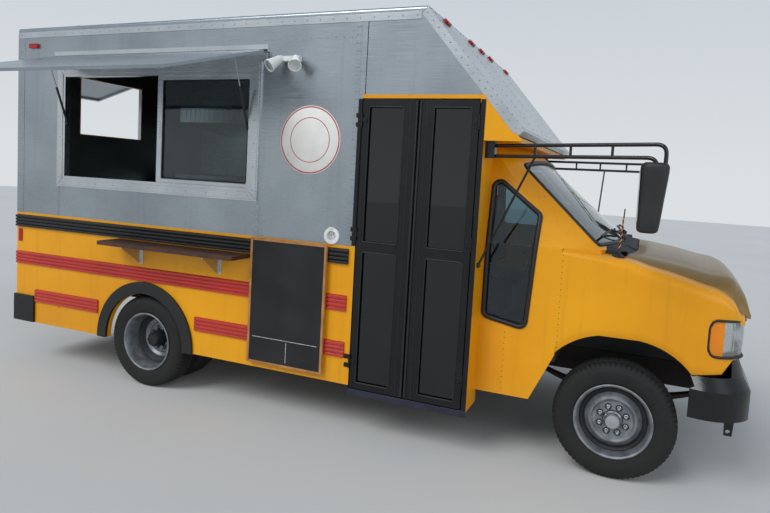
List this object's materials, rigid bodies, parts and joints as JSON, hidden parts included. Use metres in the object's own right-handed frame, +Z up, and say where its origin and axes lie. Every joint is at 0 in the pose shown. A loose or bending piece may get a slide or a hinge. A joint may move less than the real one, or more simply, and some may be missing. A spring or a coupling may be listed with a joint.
{
  "type": "food truck",
  "caption": "Flat-sided food truck on a cutaway van chassis with a flip-up serving hatch, a two-leaf entry door and twin rear wheels.",
  "frame": {"origin": "on the ground, on the centreline, under the middle of the front axle", "axes": "+X to the front of the truck, +Y to its left side, +Z up"},
  "size_m": [6.344, 3.6981, 2.965],
  "materials": {
    "yellow_paint": "gloss yellow enamel, sun-faded",
    "brushed_aluminium": "brushed, lightly oxidised",
    "red_paint": "gloss red enamel",
    "black_trim": "satin black",
    "black_steel": "gloss black, scuffed",
    "chassis_steel": "flat black, rusty",
    "rim_steel": "grey paint, dusty",
    "tyre": "worn rubber",
    "glass": "clear, slightly tinted",
    "door_alloy": "dark bronze anodised",
    "stainless": "brushed stainless steel",
    "wood": "stained and weathered",
    "board": "chalkboard in a pine frame",
    "lamp_lens": "red and amber lenses",
    "headlamp_lens": "fluted clear lens",
    "white_plastic": "white housings",
    "floor_rubber": "ribbed mat",
    "seat_vinyl": "dark vinyl",
    "interior_plastic": "grained grey"
  },
  "bodies": {
    "body": {"frame_rails": "chassis_steel", "frame_crossmembers": "chassis_steel", "floor": "floor_rubber", "stepwell": "floor_rubber", "lower_sides": "yellow_paint", "upper_sides": "brushed_aluminium", "rear_wall": "brushed_aluminium", "roof": "brushed_aluminium", "roof_slope": "brushed_aluminium", "front_transition": "yellow_paint", "cab_shell": "yellow_paint", "fixed_glass": "glass", "cab_floor": "chassis_steel", "engine_cover": "interior_plastic", "front_wings": "yellow_paint", "cowl": "black_trim", "grille": "black_trim", "headlamps": "headlamp_lens", "front_bumper": "black_steel", "rear_bumper": "black_steel", "red_rails": "red_paint", "black_side_trim": "black_trim", "window_frame": "brushed_aluminium", "service_shelf": "wood", "menu_board": "board", "signal_lamps": "lamp_lens", "flood_lights": "white_plastic", "mirrors": "black_trim", "dashboard": "interior_plastic", "driver_seat": "seat_vinyl", "engine": "chassis_steel", "exhaust": "chassis_steel", "fuel_tank": "chassis_steel", "front_axle": "chassis_steel", "rear_axle": "chassis_steel", "leaf_springs": "chassis_steel", "kitchen_counters": "stainless", "exhaust_hood": "stainless", "power_inlet": "white_plastic"},
    "knuckle_right": {"knuckle_right": "chassis_steel"},
    "knuckle_left": {"knuckle_left": "chassis_steel"},
    "hood": {"hood": "yellow_paint"},
    "driver_door": {"driver_door": "yellow_paint", "driver_door_glass": "glass"},
    "entry_leaf_rear": {"entry_leaf_rear": "door_alloy", "entry_glass_rear": "glass"},
    "entry_leaf_front": {"entry_leaf_front": "door_alloy", "entry_glass_front": "glass"},
    "serving_hatch": {"serving_hatch": "brushed_aluminium"},
    "strut_cylinders": {"strut_cylinders": "black_steel"},
    "strut_rods": {"strut_rods": "stainless"},
    "rear_flap": {"rear_flap": "brushed_aluminium"},
    "front_wheel_right": {"front_tyre_right": "tyre", "front_rim_right": "rim_steel"},
    "rear_wheels_right": {"rear_tyres_right": "tyre", "rear_rims_right": "rim_steel"},
    "front_wheel_left": {"front_tyre_left": "tyre", "front_rim_left": "rim_steel"},
    "rear_wheels_left": {"rear_tyres_left": "tyre", "rear_rims_left": "rim_steel"}
  },
  "joints": [
    {"name": "hood_hinge", "type": "hinge", "parent": "body", "child": "hood", "pos_m": [-0.025, 0, 1.385], "axis": [0, -1, 0], "range_deg": [0, 50]},
    {"name": "driver_door_hinge", "type": "hinge", "parent": "body", "child": "driver_door", "pos_m": [-0.4105, 1.015, 0.925], "axis": [0, 0, -1], "range_deg": [0, 65]},
    {"name": "entry_rear_hinge", "type": "hinge", "parent": "body", "child": "entry_leaf_rear", "pos_m": [-1.692, -1.208, 1.39], "axis": [0, 0, -1], "range_deg": [0, 90]},
    {"name": "entry_front_hinge", "type": "hinge", "parent": "body", "child": "entry_leaf_front", "pos_m": [-0.899, -1.208, 1.39], "axis": [0, 0, 1], "range_deg": [0, 90]},
    {"name": "hatch_hinge", "type": "hinge", "parent": "body", "child": "serving_hatch", "pos_m": [-3.4775, -1.23, 2.6], "axis": [1, 0, 0], "range_deg": [0, 74]},
    {"name": "strut_swing", "type": "hinge", "parent": "body", "child": "strut_cylinders", "pos_m": [-3.4885, -1.203, 2.08], "axis": [1, 0, 0], "range_deg": [-17.21, 0]},
    {"name": "strut_slide", "type": "slide", "parent": "strut_cylinders", "child": "strut_rods", "axis": [0, -0.3643, 0.9313], "range_m": [-0.1545, 0]},
    {"name": "rear_flap_hinge", "type": "hinge", "parent": "body", "child": "rear_flap", "pos_m": [-4.995, -0.205, 2.6], "axis": [0, -1, 0], "range_deg": [0, 74]},
    {"name": "steer_right", "type": "hinge", "parent": "body", "child": "knuckle_right", "pos_m": [0, -0.7, 0.366], "axis": [0, 0, 1], "range_deg": [-35, 35]},
    {"name": "steer_left", "type": "hinge", "parent": "body", "child": "knuckle_left", "pos_m": [0, 0.7, 0.366], "axis": [0, 0, 1], "range_deg": [-35, 35]},
    {"name": "front_wheel_spin_right", "type": "hinge", "parent": "knuckle_right", "child": "front_wheel_right", "pos_m": [0, -0.882, 0.366], "axis": [0, 1, 0], "continuous": true},
    {"name": "rear_wheel_spin_right", "type": "hinge", "parent": "body", "child": "rear_wheels_right", "pos_m": [-3.505, -1.084, 0.366], "axis": [0, 1, 0], "continuous": true},
    {"name": "front_wheel_spin_left", "type": "hinge", "parent": "knuckle_left", "child": "front_wheel_left", "pos_m": [0, 0.882, 0.366], "axis": [0, 1, 0], "continuous": true},
    {"name": "rear_wheel_spin_left", "type": "hinge", "parent": "body", "child": "rear_wheels_left", "pos_m": [-3.505, 1.084, 0.366], "axis": [0, 1, 0], "continuous": true}
  ],
  "couplings": [
    {"joint": "steer_left", "follows": "steer_right", "ratio": 1},
    {"joint": "strut_swing", "follows": "hatch_hinge", "ratio": -0.22991},
    {"joint": "strut_slide", "follows": "hatch_hinge", "m_per_rad": -0.11885}
  ]
}
